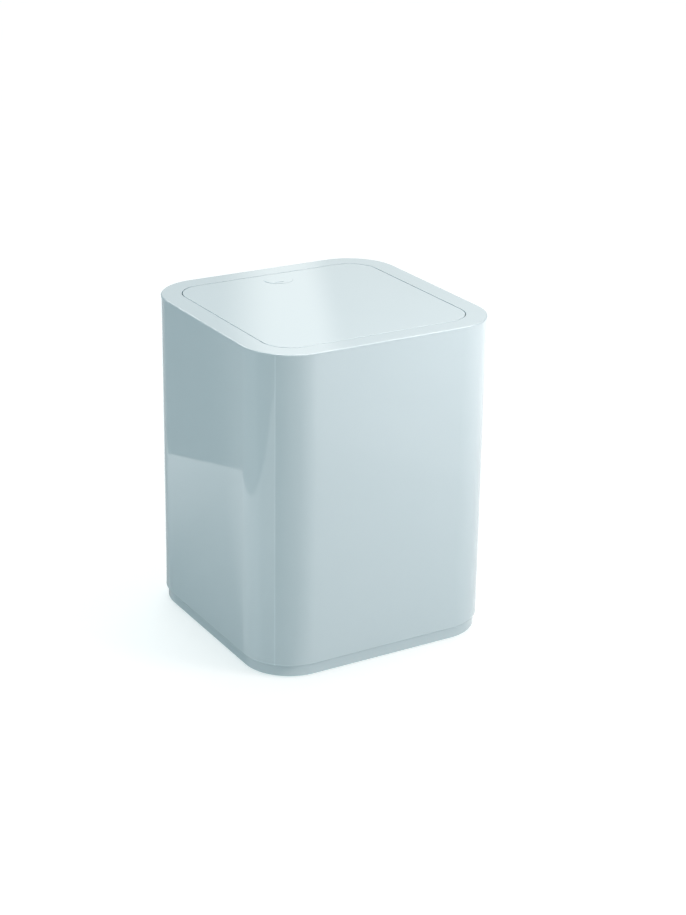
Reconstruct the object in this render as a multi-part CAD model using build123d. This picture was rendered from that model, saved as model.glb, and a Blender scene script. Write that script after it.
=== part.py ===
"""Swing-lid waste bin: a square cover with round corners, a bucket inside and a base tray.

Frame: millimetres, +Z up, origin on the floor under the middle, front at -Y, left at -X.
The lid turns about an axis along X, a little under the rim.
The cover lifts off the bucket, and the bucket lifts off the base tray.
"""
import os
from math import cos, radians

from build123d import *

# Outside form, measured on the photograph
outside_width = 200.0
overall_height = 251.5
outside_corner = 39.5
step_height = 9.8
plinth_inset = 1.75
rim_edge_radius = 1.2
cover_foot_radius = 1.5
plinth_foot_radius = 1.2
opening_corner = 22.95
lid_gap = 0.6
mouth_edge_radius = 0.35

# Walls of the cover and what its rim hides, from the outside in
cover_wall = 3.0
lip_to_cover_gap = 3.0
lip_overhang = 3.0
bucket_wall = 1.8
tab_to_bucket_gap = 1.2
stop_tab_thickness = 3.0
stop_tab_setback = 1.15
rim_thickness = 3.0

# Flange and gussets under the rim
flange_depth = 12.0
flange_wall = 2.5
gusset_thickness = 1.6
gusset_drop = 8.0
gusset_spacing = 40.0

# Modelling: how far joined blocks reach into each other, how far a cut starts outside, and a height match
fusing_overlap = 0.3
cut_past = 1.0
level_tolerance = 0.001

# Lid
lid_thickness = 2.5
lid_skirt_wall = 2.0
lid_skirt_depth = 12.0
lid_rib_thickness = 1.6
lid_rib_depth = 6.0
lid_rib_place = 40.0
lid_swing_degrees = 70.0

# Press dimple in the lid's back edge, with one low rib to feel
dimple_radius = 10.7
dimple_from_edge = 15.25
dimple_depth = 1.0
dimple_run = 18.0
feel_rib_length = 8.0
feel_rib_width = 1.0
feel_rib_height = 0.4
feel_rib_place = 6.5

# Pivot: a steel pin in a cup bush, held in a saddle by a screwed cap
pin_radius = 2.0
pin_length = 16.6
pin_seat_clearance = 0.03
running_clearance = 0.05
pin_end_clearance = 0.1
boss_wall = 3.0
boss_end_wall = 1.5
bush_wall = 1.0
bush_end_wall = 1.95
bush_flange_overhang = 0.8
bush_to_rim_gap = 0.15
bush_flange_thickness = 1.0
bush_setback = 0.15
saddle_clearance = 0.05
bracket_depth = 7.5
bracket_half_width = 14.0
cap_thickness = 3.0
cap_setback = 0.15
tongue_clearance = 0.1
tongue_below_axis = 2.6
web_thickness = 2.0

# Stop for the lid: a peg under each cap, in a rubber sleeve
stop_tab_half_width = 4.0
stop_tab_below_peg = 2.5
peg_radius = 1.5
sleeve_wall = 0.9
sleeve_clearance = 0.05
sleeve_reach = 3.25
peg_beyond_sleeve = 0.4
stop_margin = 0.3

# Screws, all of one kind
screw_shank_radius = 1.4
screw_length = 10.0
screw_head_radius = 2.6
screw_head_height = 1.8
screw_slot_width = 0.8
screw_slot_depth = 0.8
screw_pilot_clearance = 0.05
screw_pass_clearance = 0.3
screw_end_clearance = 0.5
cap_screw_place = 9.0

# Counterweight, its pocket under the lid and the pocket's cover
# The offset towards the back balances the dimple, so that the lid hangs level
weight_length = 90.0
weight_width = 12.0
weight_height = 9.0
weight_below_axis = 12.0
weight_offset = 0.114
weight_clearance = 0.3
pocket_wall = 1.6
pocket_stop_place = 30.0
weight_cover_thickness = 1.6
weight_screw_boss_radius = 3.4

# Bucket
bucket_over_clearance = 2.7
bucket_taper = 7.0
bucket_foot_corner = 26.0
bucket_floor = 2.2
lip_thickness = 1.8
lip_turn_down = 5.0
lip_turn_wall = 1.6
lip_edge_radius = 0.8

# Base tray and its feet
foot_height = 0.8
plinth_wall = 2.5
tray_floor = 3.0
upstand_clearance = 0.4
upstand_wall = 2.0
upstand_height = 12.0
upstand_lead_in = 0.8
locating_ring_clearance = 0.5
locating_ring_wall = 2.0
locating_ring_height = 4.0
tray_rib_thickness = 2.0
tray_rib_depth = 4.0
tray_rib_spacing = 45.0
pad_radius = 7.0
pad_thickness = 3.0
pad_clearance = 0.1
pad_boss_wall = 2.5
pad_from_side = 30.0
pad_edge_radius = 0.4

# Widths, as half the distance across the flats
outside_half = outside_width / 2
cover_inner_half = outside_half - cover_wall
cover_inner_corner = outside_corner - cover_wall
lip_half = cover_inner_half - lip_to_cover_gap
mouth_outer_half = lip_half - lip_overhang
mouth_inner_half = mouth_outer_half - bucket_wall
stop_tab_outer = mouth_inner_half - tab_to_bucket_gap
stop_tab_inner = stop_tab_outer - stop_tab_thickness
opening_half = stop_tab_inner - stop_tab_setback
lid_half = opening_half - lid_gap
lid_corner = opening_corner - lid_gap
plinth_half = outside_half - plinth_inset
plinth_corner = outside_corner - plinth_inset
upstand_half = cover_inner_half - upstand_clearance
upstand_corner = cover_inner_corner - upstand_clearance
mouth_corner = outside_corner - (outside_half - mouth_outer_half)
lip_corner = outside_corner - (outside_half - lip_half)
bucket_foot_half = mouth_outer_half - bucket_taper
ring_half = bucket_foot_half + locating_ring_clearance
ring_corner = bucket_foot_corner + locating_ring_clearance

# Heights
bush_bore_radius = pin_radius + running_clearance
bush_radius = bush_bore_radius + bush_wall
bush_flange_radius = bush_radius + bush_flange_overhang
pivot_drop = rim_thickness + bush_to_rim_gap + bush_flange_radius
rim_underside = overall_height - rim_thickness
flange_bottom = overall_height - flange_depth
axis_height = overall_height - pivot_drop
lid_underside = overall_height - lid_thickness
lid_skirt_bottom = overall_height - lid_skirt_depth
cap_bottom = flange_bottom - cap_thickness
bucket_top = cap_bottom - screw_head_height - bucket_over_clearance
sleeve_radius = peg_radius + sleeve_clearance + sleeve_wall
skirt_below_axis = lid_skirt_depth - pivot_drop
stop_below_axis = (skirt_below_axis + sleeve_radius + stop_margin) / cos(radians(lid_swing_degrees))
peg_height = axis_height - stop_below_axis
weight_bottom = axis_height - weight_below_axis - weight_height / 2
weight_top = weight_bottom + weight_height
weight_screw_seat = weight_bottom - weight_cover_thickness
tray_floor_underside = step_height - tray_floor

# Places along the pivot axis, as distances from the middle
boss_outer_end = lid_half - lid_skirt_wall
bush_inner_end = opening_half + bush_setback
bracket_outer_end = opening_half + bracket_depth
bush_outer_end = bracket_outer_end + bush_flange_thickness
bush_bottom = bush_outer_end - bush_end_wall
pin_outer_end = bush_bottom - pin_end_clearance
pin_inner_end = pin_outer_end - pin_length
boss_bore_end = pin_inner_end - pin_end_clearance
boss_inner_end = boss_bore_end - boss_end_wall
saddle_radius = bush_radius + saddle_clearance
boss_radius = pin_radius + boss_wall
cap_screw_x = (opening_half + cap_setback + bracket_outer_end) / 2
sleeve_length = stop_tab_inner - lid_half + sleeve_reach
peg_end = stop_tab_inner - sleeve_length - peg_beyond_sleeve

# The counterweight's pocket, as distances from its own middle
pocket_half_length = weight_length / 2 + weight_clearance + pocket_wall
pocket_half_width = weight_width / 2 + weight_clearance + pocket_wall
pocket_front = weight_offset - pocket_half_width
pocket_back = weight_offset + pocket_half_width
weight_screw_x = pocket_half_length + weight_screw_boss_radius - fusing_overlap
weight_cover_half_length = weight_screw_x + weight_screw_boss_radius

sides = (("left", -1), ("right", 1))


def solid_square(half, corner, bottom, top):
    """A round-cornered square block between two heights."""
    outline = Pos(0, 0, bottom) * RectangleRounded(2 * half, 2 * half, corner)
    return extrude(outline, amount=top - bottom)


def square_ring(half, corner, wall, bottom, top):
    """A round-cornered square ring with an even wall."""
    return solid_square(half, corner, bottom, top) - solid_square(half - wall, corner - wall, bottom, top)


def bar(x_low, x_high, y_low, y_high, z_low, z_high):
    """A plain block between two corners."""
    size = (x_high - x_low, y_high - y_low, z_high - z_low)
    middle = ((x_low + x_high) / 2, (y_low + y_high) / 2, (z_low + z_high) / 2)
    return Pos(*middle) * Box(*size)


def rod_along_x(radius, x_low, x_high, y, z):
    """A round rod along X."""
    return Pos((x_low + x_high) / 2, y, z) * Rot(0, 90, 0) * Cylinder(radius, x_high - x_low)


def rod_along_z(radius, x, y, z_low, z_high):
    """A round rod along Z."""
    return Pos(x, y, (z_low + z_high) / 2) * Cylinder(radius, z_high - z_low)


def on_side(shape, sign):
    """The shape drawn for the right side, or its mirror image for the left side."""
    return shape if sign > 0 else mirror(shape, about=Plane.YZ)


def edges_at(shape, height, smallest_half):
    """The edges that lie level at a height and reach further out than a given half width."""
    level = shape.edges().filter_by_position(Axis.Z, height - level_tolerance, height + level_tolerance)
    return [edge for edge in level if max(abs(edge.center().X), abs(edge.center().Y)) > smallest_half]


def one_solid(shape):
    """The single solid of a finished piece."""
    solids = shape.solids()
    if len(solids) != 1:
        raise ValueError(f"expected one solid, got {len(solids)}")
    return solids[0]


def write(name, shape):
    """Writes one node."""
    export_step(shape, f"parts/{name}.step")


def make_gussets():
    """Triangular gussets between the rim's flange and the cover's wall, clear of the brackets."""
    outer = cover_inner_half + fusing_overlap
    inner = opening_half + flange_wall - fusing_overlap
    top = rim_underside + fusing_overlap
    triangle = Polyline((inner, 0, top), (outer, 0, top), (inner, 0, top - gusset_drop), close=True)
    plate = extrude(make_face(triangle), amount=gusset_thickness / 2, both=True)
    gussets = []
    for turn in (0, 90, 180, 270):
        bracket_here = turn in (0, 180)
        places = (-gusset_spacing, gusset_spacing) if bracket_here else (-gusset_spacing, 0, gusset_spacing)
        for place in places:
            gussets.append(Rot(0, 0, turn) * Pos(0, place, 0) * plate)
    return gussets


def make_bracket():
    """The right bearing bracket: a block under the rim with a saddle open to below, and two webs."""
    block = bar(opening_half, bracket_outer_end, -bracket_half_width, bracket_half_width,
                flange_bottom, rim_underside + fusing_overlap)
    for sign in (-1, 1):
        web_outer = sign * bracket_half_width
        web_inner = sign * (bracket_half_width - web_thickness)
        block += bar(bracket_outer_end - fusing_overlap, cover_inner_half + fusing_overlap,
                     min(web_outer, web_inner), max(web_outer, web_inner),
                     flange_bottom, rim_underside + fusing_overlap)
    return block


def make_bracket_cuts():
    """What is cut from the cover at the right bracket: the saddle and the pilot holes."""
    x_low = opening_half - fusing_overlap
    x_high = bracket_outer_end + fusing_overlap
    cuts = rod_along_x(saddle_radius, x_low, x_high, 0, axis_height)
    cuts += bar(x_low, x_high, -saddle_radius, saddle_radius, flange_bottom - fusing_overlap, axis_height)
    pilot_top = cap_bottom + screw_length + screw_end_clearance
    for sign in (-1, 1):
        cuts += rod_along_z(screw_shank_radius + screw_pilot_clearance, cap_screw_x, sign * cap_screw_place,
                            flange_bottom - fusing_overlap, pilot_top)
    return cuts


def make_outer_cover():
    """Walls and rim in one moulding, open below, with the flange, gussets and brackets under the rim."""
    cover = solid_square(outside_half, outside_corner, step_height, overall_height)
    cover = fillet(edges_at(cover, overall_height, 0), rim_edge_radius)
    cover = fillet(edges_at(cover, step_height, 0), cover_foot_radius)
    cover -= solid_square(cover_inner_half, cover_inner_corner, step_height, rim_underside)
    flange_half = opening_half + flange_wall
    cover += solid_square(flange_half, opening_corner + flange_wall, flange_bottom, rim_underside)
    for gusset in make_gussets():
        cover += gusset
    for _, sign in sides:
        cover += on_side(make_bracket(), sign)
    cover -= solid_square(opening_half, opening_corner, flange_bottom, overall_height)
    mouth_edges = [edge for edge in edges_at(cover, overall_height, 0)
                   if max(abs(edge.center().X), abs(edge.center().Y)) < flange_half]
    cover = fillet(mouth_edges, mouth_edge_radius)
    for _, sign in sides:
        cover -= on_side(make_bracket_cuts(), sign)
    return one_solid(cover)


def make_bush():
    """The right bush: a cup with a flange on its closed end, which lies against the bracket."""
    bush = rod_along_x(bush_radius, bush_inner_end, bush_outer_end, 0, axis_height)
    bush += rod_along_x(bush_flange_radius, bracket_outer_end, bush_outer_end, 0, axis_height)
    bush -= rod_along_x(bush_bore_radius, bush_inner_end, bush_bottom, 0, axis_height)
    return one_solid(bush)


def make_cap():
    """The right bearing cap: a plate with a hollowed tongue above and the stop's tab and peg below."""
    x_low = opening_half + cap_setback
    cap = bar(x_low, bracket_outer_end, -bracket_half_width, bracket_half_width, cap_bottom, flange_bottom)
    tongue_half = saddle_radius - tongue_clearance
    tongue_top = axis_height - tongue_below_axis
    cap += bar(x_low, bracket_outer_end, -tongue_half, tongue_half,
               flange_bottom - fusing_overlap, tongue_top)
    cap -= rod_along_x(saddle_radius, x_low - cut_past, bracket_outer_end + cut_past, 0, axis_height)
    cap += bar(stop_tab_inner, stop_tab_outer, -stop_tab_half_width, stop_tab_half_width,
               peg_height - stop_tab_below_peg, cap_bottom + fusing_overlap)
    cap += rod_along_x(peg_radius, peg_end, stop_tab_outer, 0, peg_height)
    for sign in (-1, 1):
        cap -= rod_along_z(screw_shank_radius + screw_pass_clearance, cap_screw_x, sign * cap_screw_place,
                           cap_bottom - cut_past, flange_bottom + cut_past)
    return one_solid(cap)


def make_sleeve():
    """The right rubber sleeve on the stop's peg."""
    outer_end = stop_tab_inner
    inner_end = outer_end - sleeve_length
    sleeve = rod_along_x(sleeve_radius, inner_end, outer_end, 0, peg_height)
    sleeve -= rod_along_x(peg_radius + sleeve_clearance, inner_end, outer_end, 0, peg_height)
    return one_solid(sleeve)


def make_screw(x, y, seat):
    """A screw driven upwards, with its head under the seat height and a slot across the head."""
    screw = rod_along_z(screw_shank_radius, x, y, seat, seat + screw_length)
    screw += rod_along_z(screw_head_radius, x, y, seat - screw_head_height, seat)
    slot_bottom = seat - screw_head_height
    slot_reach = screw_head_radius + cut_past
    screw -= bar(x - slot_reach, x + slot_reach, y - screw_slot_width / 2, y + screw_slot_width / 2,
                 slot_bottom, slot_bottom + screw_slot_depth)
    return one_solid(screw)


def make_pin():
    """The right pivot pin."""
    return one_solid(rod_along_x(pin_radius, pin_inner_end, pin_outer_end, 0, axis_height))


def make_pocket():
    """The counterweight's pocket under the lid: four walls, two stop ribs, a screw boss at each end."""
    top = lid_underside + fusing_overlap
    pocket = bar(-pocket_half_length, pocket_half_length, pocket_front, pocket_back, weight_bottom, top)
    inner_length = pocket_half_length - pocket_wall
    pocket -= bar(-inner_length, inner_length, pocket_front + pocket_wall, pocket_back - pocket_wall,
                  weight_bottom, top)
    for sign in (-1, 1):
        stop_x = sign * pocket_stop_place
        pocket += bar(stop_x - pocket_wall / 2, stop_x + pocket_wall / 2, pocket_front, pocket_back,
                      weight_top, top)
        pocket += rod_along_z(weight_screw_boss_radius, sign * weight_screw_x, weight_offset,
                              weight_bottom, top)
    return pocket


def make_dimple():
    """The press dimple's cutter: deepest at its near side, with a floor that runs out level behind."""
    middle_y = lid_half - dimple_from_edge
    near_y = middle_y - dimple_radius
    slope = dimple_depth / dimple_run
    reach = 2 * dimple_radius
    floor = overall_height - dimple_depth
    side_view = Polyline((near_y - reach, overall_height + reach), (near_y - reach, floor - reach * slope),
                         (near_y + 2 * reach, floor + 2 * reach * slope),
                         (near_y + 2 * reach, overall_height + reach), close=True)
    wedge = extrude(Plane.YZ * make_face(side_view), amount=reach, both=True)
    well = rod_along_z(dimple_radius, 0, middle_y, floor - reach, overall_height + dimple_depth)
    rib_y = near_y + feel_rib_place
    rib_floor = floor + feel_rib_place * slope
    rib = bar(-feel_rib_length / 2, feel_rib_length / 2, rib_y - feel_rib_width / 2,
              rib_y + feel_rib_width / 2, rib_floor - dimple_depth, rib_floor + feel_rib_height)
    return (wedge & well) - rib


def make_lid():
    """The lid: skin, skirt, ribs, pivot bosses, the counterweight's pocket and the press dimple."""
    lid = solid_square(lid_half, lid_corner, lid_skirt_bottom, overall_height)
    lid = fillet(edges_at(lid, overall_height, 0), mouth_edge_radius)
    inner_half = lid_half - lid_skirt_wall
    inner_corner = lid_corner - lid_skirt_wall
    lid -= solid_square(inner_half, inner_corner, lid_skirt_bottom, lid_underside)
    top = lid_underside + fusing_overlap
    reach = inner_half + fusing_overlap
    rib_bottom = lid_underside - lid_rib_depth
    for sign in (-1, 1):
        low = sign * lid_rib_place - lid_rib_thickness / 2
        high = low + lid_rib_thickness
        lid += bar(-reach, reach, low, high, rib_bottom, top)
        lid += bar(low, high, -reach, pocket_front + fusing_overlap, rib_bottom, top)
        lid += bar(low, high, pocket_back - fusing_overlap, reach, rib_bottom, top)
    for _, sign in sides:
        boss = rod_along_x(boss_radius, boss_inner_end, boss_outer_end + fusing_overlap, 0, axis_height)
        boss += bar(boss_inner_end, boss_outer_end + fusing_overlap, -boss_radius, boss_radius,
                    axis_height, top)
        lid += on_side(boss, sign)
    lid += make_pocket()
    for _, sign in sides:
        bore_radius = pin_radius + pin_seat_clearance
        bore = rod_along_x(bore_radius, boss_bore_end, lid_half + cut_past, 0, axis_height)
        lid -= on_side(bore, sign)
        lid -= rod_along_z(screw_shank_radius + screw_pilot_clearance, sign * weight_screw_x, weight_offset,
                           weight_bottom, weight_screw_seat + screw_length + screw_end_clearance)
    lid -= make_dimple()
    return one_solid(lid)


def make_counterweight():
    """The steel bar that brings the lid back level."""
    weight = bar(-weight_length / 2, weight_length / 2, weight_offset - weight_width / 2,
                 weight_offset + weight_width / 2, weight_bottom, weight_top)
    return one_solid(weight)


def make_weight_cover():
    """The plate that closes the counterweight's pocket."""
    outline = Pos(0, weight_offset, weight_screw_seat) * RectangleRounded(
        2 * weight_cover_half_length, 2 * pocket_half_width, weight_screw_boss_radius)
    plate = extrude(outline, amount=weight_cover_thickness)
    for sign in (-1, 1):
        plate -= rod_along_z(screw_shank_radius + screw_pass_clearance, sign * weight_screw_x, weight_offset,
                             weight_screw_seat - cut_past, weight_bottom + cut_past)
    return one_solid(plate)


def tapered_block(inset):
    """The bucket's tapered form, drawn in by an even inset."""
    foot = 2 * (bucket_foot_half - inset)
    mouth = 2 * (mouth_outer_half - inset)
    return loft([Pos(0, 0, step_height) * RectangleRounded(foot, foot, bucket_foot_corner - inset),
                 Pos(0, 0, bucket_top) * RectangleRounded(mouth, mouth, mouth_corner - inset)], ruled=True)


def make_bucket():
    """The bucket: tapered walls, a floor, and a lip that turns out and down to lift it by."""
    bucket = tapered_block(0)
    bucket += solid_square(lip_half, lip_corner, bucket_top - lip_thickness, bucket_top)
    bucket += square_ring(lip_half, lip_corner, lip_turn_wall, bucket_top - lip_turn_down, bucket_top)
    hollow = tapered_block(bucket_wall)
    hollow -= solid_square(outside_half, outside_corner, step_height, step_height + bucket_floor)
    bucket -= hollow
    bucket = fillet(edges_at(bucket, bucket_top, mouth_outer_half), lip_edge_radius)
    return one_solid(bucket)


def make_tray():
    """The base tray: plinth wall, floor, the upstand in the cover, the ring round the bucket's foot."""
    tray = solid_square(plinth_half, plinth_corner, foot_height, step_height)
    tray = fillet(edges_at(tray, foot_height, 0), plinth_foot_radius)
    tray -= solid_square(plinth_half - plinth_wall, plinth_corner - plinth_wall, foot_height,
                         tray_floor_underside)
    upstand_top = step_height + upstand_height
    upstand = square_ring(upstand_half, upstand_corner, upstand_wall,
                          step_height - fusing_overlap, upstand_top)
    upstand = chamfer(edges_at(upstand, upstand_top, upstand_half - upstand_wall / 4), upstand_lead_in)
    tray += upstand
    tray += square_ring(ring_half + locating_ring_wall, ring_corner + locating_ring_wall,
                        locating_ring_wall, step_height - fusing_overlap, step_height + locating_ring_height)
    reach = plinth_half - plinth_wall + fusing_overlap
    rib_top = tray_floor_underside + fusing_overlap
    rib_bottom = tray_floor_underside - tray_rib_depth
    for place in (-tray_rib_spacing, 0, tray_rib_spacing):
        low = place - tray_rib_thickness / 2
        tray += bar(-reach, reach, low, low + tray_rib_thickness, rib_bottom, rib_top)
        tray += bar(low, low + tray_rib_thickness, -reach, reach, rib_bottom, rib_top)
    for _, x, y in foot_places():
        tray += rod_along_z(pad_radius + pad_clearance + pad_boss_wall, x, y, foot_height, rib_top)
        tray -= rod_along_z(pad_radius + pad_clearance, x, y, foot_height, pad_thickness)
    return one_solid(tray)


def foot_places():
    """The four feet: name, x and y."""
    place = outside_half - pad_from_side
    return [(f"{front}_{side}", sign * place, depth * place)
            for front, depth in (("front", -1), ("back", 1)) for side, sign in sides]


def make_foot_pad(x, y):
    """A rubber pad, with its upper part in the tray's pocket."""
    pad = rod_along_z(pad_radius, x, y, 0, pad_thickness)
    pad = fillet(pad.edges().filter_by_position(Axis.Z, -level_tolerance, level_tolerance), pad_edge_radius)
    return one_solid(pad)


os.makedirs("parts", exist_ok=True)

write("outer_cover", make_outer_cover())
write("lid_panel", make_lid())
write("inner_bucket", make_bucket())
write("base_tray", make_tray())
for place_name, pad_x, pad_y in foot_places():
    write(f"foot_pad_{place_name}", make_foot_pad(pad_x, pad_y))
for side_name, side_sign in sides:
    write(f"pivot_pin_{side_name}", on_side(make_pin(), side_sign))
    write(f"bearing_bush_{side_name}", on_side(make_bush(), side_sign))
    write(f"bearing_cap_{side_name}", on_side(make_cap(), side_sign))
    write(f"stop_sleeve_{side_name}", on_side(make_sleeve(), side_sign))
cap_screws = [make_screw(x_sign * cap_screw_x, y_sign * cap_screw_place, cap_bottom)
              for _, x_sign in sides for y_sign in (-1, 1)]
write("bearing_cap_screws", Compound(children=cap_screws))
write("counterweight", make_counterweight())
write("weight_cover", make_weight_cover())
weight_screws = [make_screw(x_sign * weight_screw_x, weight_offset, weight_screw_seat) for _, x_sign in sides]
write("weight_cover_screws", Compound(children=weight_screws))
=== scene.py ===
"""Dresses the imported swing-lid waste bin: its visible pieces, their finishes, the studio and the camera.

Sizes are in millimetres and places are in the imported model's frame: +Z up, front at -Y, left at -X, origin on
the floor under the bin's middle. A mesh is scaled to metres when it becomes an object.
"""

import logging
from dataclasses import dataclass
from enum import Enum
from math import cos, pi, radians, sin, tan

import bmesh
import bpy
from mathutils import Matrix, Vector


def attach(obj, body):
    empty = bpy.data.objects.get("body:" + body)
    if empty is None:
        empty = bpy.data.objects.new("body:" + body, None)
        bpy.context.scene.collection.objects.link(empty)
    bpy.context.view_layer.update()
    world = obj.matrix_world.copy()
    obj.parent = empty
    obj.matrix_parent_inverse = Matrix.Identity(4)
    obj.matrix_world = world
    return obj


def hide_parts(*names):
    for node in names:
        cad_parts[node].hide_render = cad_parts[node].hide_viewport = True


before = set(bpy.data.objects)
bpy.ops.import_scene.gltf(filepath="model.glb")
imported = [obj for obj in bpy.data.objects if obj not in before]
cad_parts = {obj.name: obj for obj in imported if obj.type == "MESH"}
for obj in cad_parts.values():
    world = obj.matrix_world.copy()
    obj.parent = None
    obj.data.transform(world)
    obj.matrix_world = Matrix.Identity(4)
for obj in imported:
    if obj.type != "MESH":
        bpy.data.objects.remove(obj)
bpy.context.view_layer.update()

METRES = 0.001
CORNER_STEPS = 24
ROUND_STEPS = 64
SHARP_ANGLE = radians(35)
MERGE_DISTANCE = 0.0005
# In millimetres: how far off a ring a point may lie, how deep joined forms overlap, how far a cutter runs
# past what it cuts, and how far apart the rings of a shell are stacked.
ON_RING = 0.01
OVERLAP = 0.3
CUT_PAST = 1.0
STACK_STEP = 100.0
# The places of a Mix node's two colour inputs and of its colour output.
MIX_FIRST = 6
MIX_SECOND = 7
MIX_RESULT = 2

log = logging.getLogger("waste_bin")

Point = tuple[float, float, float]
Colour = tuple[float, float, float, float]
Feed = bpy.types.Node | bpy.types.NodeSocket


class Axis(Enum):
    """The direction of a rod."""

    ALONG_X = "X"
    ALONG_Z = "Z"


class Join(Enum):
    """How a second workpiece meets the first."""

    ADD = "UNION"
    CUT = "DIFFERENCE"


class Side(Enum):
    """A side of the pivot, with the sign of its X."""

    LEFT = -1
    RIGHT = 1


class Grain(Enum):
    """How a steel surface was made, as the direction of its fine lines."""

    DRAWN = "drawn along its length"
    TURNED = "turned round its length"


class Seen(Enum):
    """What shows an object of the stage."""

    CAMERA = "the camera alone"
    GLOSS = "reflections alone"
    ALL_BUT_GLOSS = "everything but reflections"


@dataclass(frozen=True)
class Ring:
    """A level loop of a round-cornered square form."""

    half: float
    corner: float
    height: float

    def holds(self, point: Vector) -> bool:
        """Says whether a point lies on the ring.

        Args:
            point: The point.

        Returns:
            True where it does.
        """
        straight = self.half - self.corner
        across = Vector((max(abs(point.x) - straight, 0.0), max(abs(point.y) - straight, 0.0)))
        inside = min(max(abs(point.x), abs(point.y)) - straight, 0.0)
        off_line = abs(across.length + inside - self.corner)
        return off_line < ON_RING and abs(point.z - self.height) < ON_RING

    def raised(self, height: float) -> "Ring":
        """Gives the same outline at another height."""
        return Ring(self.half, self.corner, height)

    def drawn_in(self, wall: float) -> "Ring":
        """Gives the outline one wall further in, at the same height."""
        return Ring(self.half - wall, self.corner - wall, self.height)


class Workpiece:
    """A mesh in the making, in millimetres, shaped with bmesh operators."""

    def __init__(self) -> None:
        """Starts with an empty mesh."""
        self.mesh = bmesh.new()

    def loop(self, ring: Ring) -> list[bmesh.types.BMEdge]:
        """Draws a ring as a closed loop of edges.

        Args:
            ring: The outline and its height.

        Returns:
            The loop's edges.
        """
        drawn = bmesh.new()
        bmesh.ops.create_grid(drawn, x_segments=1, y_segments=1, size=ring.half)
        bmesh.ops.bevel(drawn, geom=drawn.verts[:], offset=ring.corner, offset_type="OFFSET",
                        segments=CORNER_STEPS, profile=0.5, affect="VERTICES", material=-1,
                        clamp_overlap=False)
        bmesh.ops.delete(drawn, geom=drawn.faces[:], context="FACES_ONLY")
        bmesh.ops.translate(drawn, vec=(0, 0, ring.height), verts=drawn.verts[:])
        known = set(self.mesh.edges)
        self.take(drawn)
        return [edge for edge in self.mesh.edges if edge not in known]

    def take(self, drawn: bmesh.types.BMesh) -> None:
        """Adds what another mesh holds to this one.

        Args:
            drawn: The other mesh, which is freed.
        """
        sheet = bpy.data.meshes.new("drawn")
        drawn.to_mesh(sheet)
        drawn.free()
        self.mesh.from_mesh(sheet)
        bpy.data.meshes.remove(sheet)

    def shell(self, rings: list[Ring], closed: bool) -> None:
        """Bridges rings in their order to one closed shell.

        The rings are bridged as a tall stack and then lowered to their own heights, because bridging can't
        tell which way round two loops at one height run.

        Args:
            rings: The corners of the wall's section.
            closed: True joins the last ring to the first, False closes both with a flat face.
        """
        loops = [self.loop(ring.raised(order * STACK_STEP)) for order, ring in enumerate(rings)]
        pairs = list(zip(loops, loops[1:]))
        if closed:
            pairs.append((loops[-1], loops[0]))
        for first, second in pairs:
            bmesh.ops.bridge_loops(self.mesh, edges=first + second)
        if not closed:
            for end in (loops[0], loops[-1]):
                bmesh.ops.contextual_create(self.mesh, geom=end)
        for order, (ring, drawn) in enumerate(zip(rings, loops)):
            verts = list({vert for edge in drawn for vert in edge.verts})
            bmesh.ops.translate(self.mesh, vec=(0, 0, ring.height - order * STACK_STEP), verts=verts)
        bmesh.ops.recalc_face_normals(self.mesh, faces=self.mesh.faces[:])

    def soften(self, ring: Ring, radius: float, steps: int = 5) -> None:
        """Rounds the edge that lies on a ring.

        Args:
            ring: The ring whose edge is rounded.
            radius: The radius of the round.
            steps: The number of flats that stand for the round.
        """
        edges = [edge for edge in self.mesh.edges if all(ring.holds(vert.co) for vert in edge.verts)]
        bmesh.ops.bevel(self.mesh, geom=edges, offset=radius, offset_type="OFFSET", segments=steps,
                        profile=0.5, affect="EDGES", material=-1, clamp_overlap=False)

    def block(self, low: Point, high: Point, round_edge: float = 0.0) -> None:
        """Adds a block between two corners.

        Args:
            low: The lowest corner.
            high: The highest corner.
            round_edge: The radius of all its edges, or 0 for sharp ones.
        """
        size = [upper - lower for lower, upper in zip(low, high)]
        middle = [(upper + lower) / 2 for lower, upper in zip(low, high)]
        place = Matrix.Translation(middle) @ Matrix.Diagonal((*size, 1.0))
        made = bmesh.ops.create_cube(self.mesh, size=1.0, matrix=place)
        if round_edge:
            edges = {edge for vert in made["verts"] for edge in vert.link_edges}
            bmesh.ops.bevel(self.mesh, geom=list(edges), offset=round_edge, offset_type="OFFSET",
                            segments=3, profile=0.5, affect="EDGES", material=-1)

    def rod(self, axis: Axis, radius: float, start: float, end: float, centre: tuple[float, float],
            steps: int = ROUND_STEPS) -> None:
        """Adds a round rod.

        Args:
            axis: The direction of the rod.
            radius: Its radius.
            start: Where it starts on that axis.
            end: Where it ends on that axis.
            centre: The other two coordinates of its middle line, in the order x, y, z.
            steps: The number of flats round it.
        """
        along = (start + end) / 2
        if axis is Axis.ALONG_X:
            place = Matrix.Translation((along, *centre)) @ Matrix.Rotation(radians(90), 4, "Y")
        else:
            place = Matrix.Translation((*centre, along))
        bmesh.ops.create_cone(self.mesh, cap_ends=True, segments=steps, radius1=radius, radius2=radius,
                              depth=abs(end - start), matrix=place)

    def mirrored(self) -> "Workpiece":
        """Mirrors the workpiece across the middle plane between left and right.

        Returns:
            The mirror image, as a workpiece of its own.
        """
        image = Workpiece()
        image.take(self.mesh.copy())
        bmesh.ops.scale(image.mesh, vec=(-1, 1, 1), verts=image.mesh.verts[:])
        bmesh.ops.reverse_faces(image.mesh, faces=image.mesh.faces[:])
        return image

    def on(self, side: Side) -> "Workpiece":
        """Gives the workpiece drawn for the right side on either side."""
        return self if side is Side.RIGHT else self.mirrored()

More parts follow.
